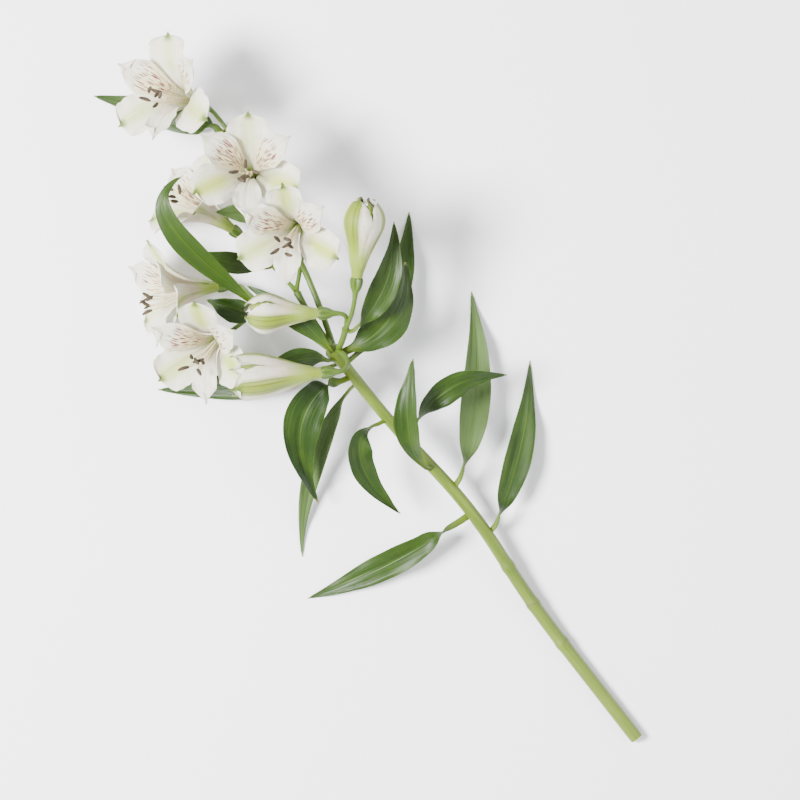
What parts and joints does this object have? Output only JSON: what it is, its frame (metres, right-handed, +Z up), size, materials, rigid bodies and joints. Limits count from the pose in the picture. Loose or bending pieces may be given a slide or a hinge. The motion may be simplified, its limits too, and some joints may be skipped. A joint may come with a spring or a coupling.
{
  "type": "alstroemeria stem",
  "caption": "Cut alstroemeria stem lying on its side, with an umbel of white flowers and buds, a leaf whorl and twisted narrow leaves.",
  "frame": {"origin": "centre of the small flat that the stalk rests on, under the stalk near its cut end", "axes": "+Y along the stalk from the cut end to the flowers, +Z up from the surface it lies on, +X to the right"},
  "size_m": [0.1785, 0.4653, 0.093],
  "materials": {
    "stalk": "satin plant skin, pale yellow-green",
    "leaf": "satin leaf with parallel veins, paler underside",
    "tepal": "soft white petal with green tips and dark red streaks",
    "stamen": "pale filaments with grey-brown anthers",
    "bud": "waxy lime green and cream"
  },
  "bodies": {
    "root": {"stem": "stalk", "stem_leaf_1": "leaf", "stem_leaf_2": "leaf", "stem_leaf_3": "leaf", "stem_leaf_4": "leaf", "stem_leaf_5": "leaf", "stem_leaf_6": "leaf", "whorl_leaf_1": "leaf", "whorl_leaf_2": "leaf", "whorl_leaf_3": "leaf", "whorl_leaf_4": "leaf", "whorl_leaf_5": "leaf", "whorl_leaf_6": "leaf", "whorl_leaf_7": "leaf", "bract_1": "leaf", "bract_2": "leaf", "bract_3": "leaf", "bract_4": "leaf", "bract_5": "leaf", "bract_6": "leaf", "bract_7": "leaf", "flower_1_tepals": "tepal", "flower_1_stamens": "stamen", "flower_2_tepals": "tepal", "flower_2_stamens": "stamen", "flower_3_tepals": "tepal", "flower_3_stamens": "stamen", "flower_4_tepals": "tepal", "flower_4_stamens": "stamen", "flower_5_tepals": "tepal", "flower_5_stamens": "stamen", "flower_6_tepals": "tepal", "flower_6_stamens": "stamen", "flower_7_tepals": "tepal", "flower_7_stamens": "stamen", "bud_1": "bud", "bud_2": "bud"}
  },
  "joints": []
}
